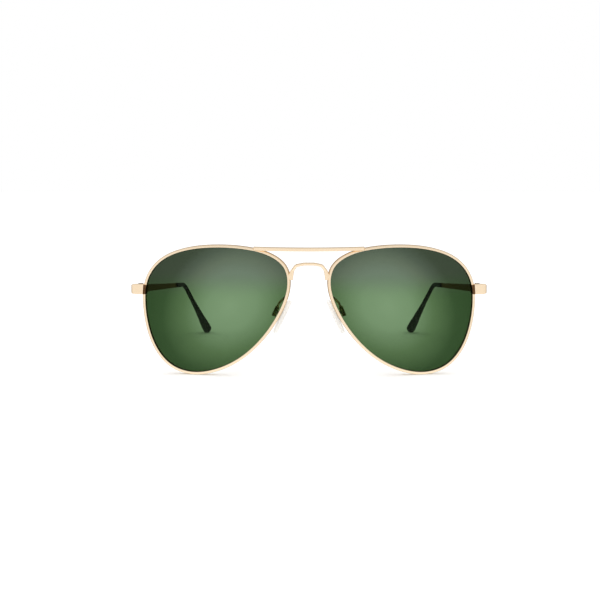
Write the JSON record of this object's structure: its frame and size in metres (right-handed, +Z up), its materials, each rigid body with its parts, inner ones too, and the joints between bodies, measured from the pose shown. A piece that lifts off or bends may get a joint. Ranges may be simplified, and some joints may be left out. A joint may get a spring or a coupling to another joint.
{
  "type": "aviator sunglasses",
  "caption": "Thin gold metal aviator sunglasses with tinted teardrop lenses, a straight brow bar over an arched bridge, tilting nose pads, and hinged temples with dark bent tips.",
  "frame": {"origin": "on the table, midway across the front and midway between the foremost and rearmost points", "axes": "+Z up, front of the lenses faces -Y, temples run towards +Y, +X is the wearer's left, symmetric about X = 0 at rest"},
  "size_m": [0.1412, 0.1418, 0.0516],
  "materials": {
    "gold_frame": "polished pale gold plating over the metal",
    "gold_hardware": "gold plated, satin, darker in the joints",
    "screw_steel": "bright turned steel with a gold flash",
    "green_glass": "polished grey-green tinted glass",
    "black_acetate": "polished black acetate",
    "clear_silicone": "soft translucent silicone"
  },
  "bodies": {
    "front": {"bridge": "gold_frame", "end_piece_left": "gold_frame", "end_piece_right": "gold_frame", "hinge_front_left": "gold_hardware", "hinge_front_right": "gold_hardware", "hinge_screw_left": "screw_steel", "hinge_screw_right": "screw_steel", "lens_left": "green_glass", "lens_right": "green_glass", "pad_arm_left": "gold_hardware", "pad_arm_right": "gold_hardware", "pad_box_left": "gold_hardware", "pad_box_right": "gold_hardware", "pad_screw_left": "screw_steel", "pad_screw_right": "screw_steel", "rim_left": "gold_frame", "rim_lock_lower_left": "gold_hardware", "rim_lock_lower_right": "gold_hardware", "rim_lock_screw_left": "screw_steel", "rim_lock_screw_right": "screw_steel", "rim_lock_upper_left": "gold_hardware", "rim_lock_upper_right": "gold_hardware", "rim_right": "gold_frame", "top_bar": "gold_frame"},
    "temple_left": {"hinge_temple_left": "gold_hardware", "temple_arm_left": "gold_frame", "temple_tip_left": "black_acetate"},
    "pad_left": {"pad_core_left": "screw_steel", "nose_pad_left": "clear_silicone"},
    "temple_right": {"hinge_temple_right": "gold_hardware", "temple_arm_right": "gold_frame", "temple_tip_right": "black_acetate"},
    "pad_right": {"pad_core_right": "screw_steel", "nose_pad_right": "clear_silicone"}
  },
  "joints": [
    {"name": "temple_left_fold", "type": "hinge", "parent": "front", "child": "temple_left", "pos_m": [0.06749, -0.05623, 0.03321], "axis": [0, 0.0692, 0.9976], "range_deg": [0, 82]},
    {"name": "temple_right_fold", "type": "hinge", "parent": "front", "child": "temple_right", "pos_m": [-0.06749, -0.05623, 0.03321], "axis": [0, -0.0692, -0.9976], "range_deg": [0, 75]},
    {"name": "nose_pad_left_tilt", "type": "hinge", "parent": "front", "child": "pad_left", "pos_m": [0.01309, -0.06134, 0.02467], "axis": [0.032, 0.9994, 0.0139], "range_deg": [-8, 8]},
    {"name": "nose_pad_right_tilt", "type": "hinge", "parent": "front", "child": "pad_right", "pos_m": [-0.01309, -0.06134, 0.02467], "axis": [0.032, -0.9994, -0.0139], "range_deg": [-8, 8]}
  ]
}
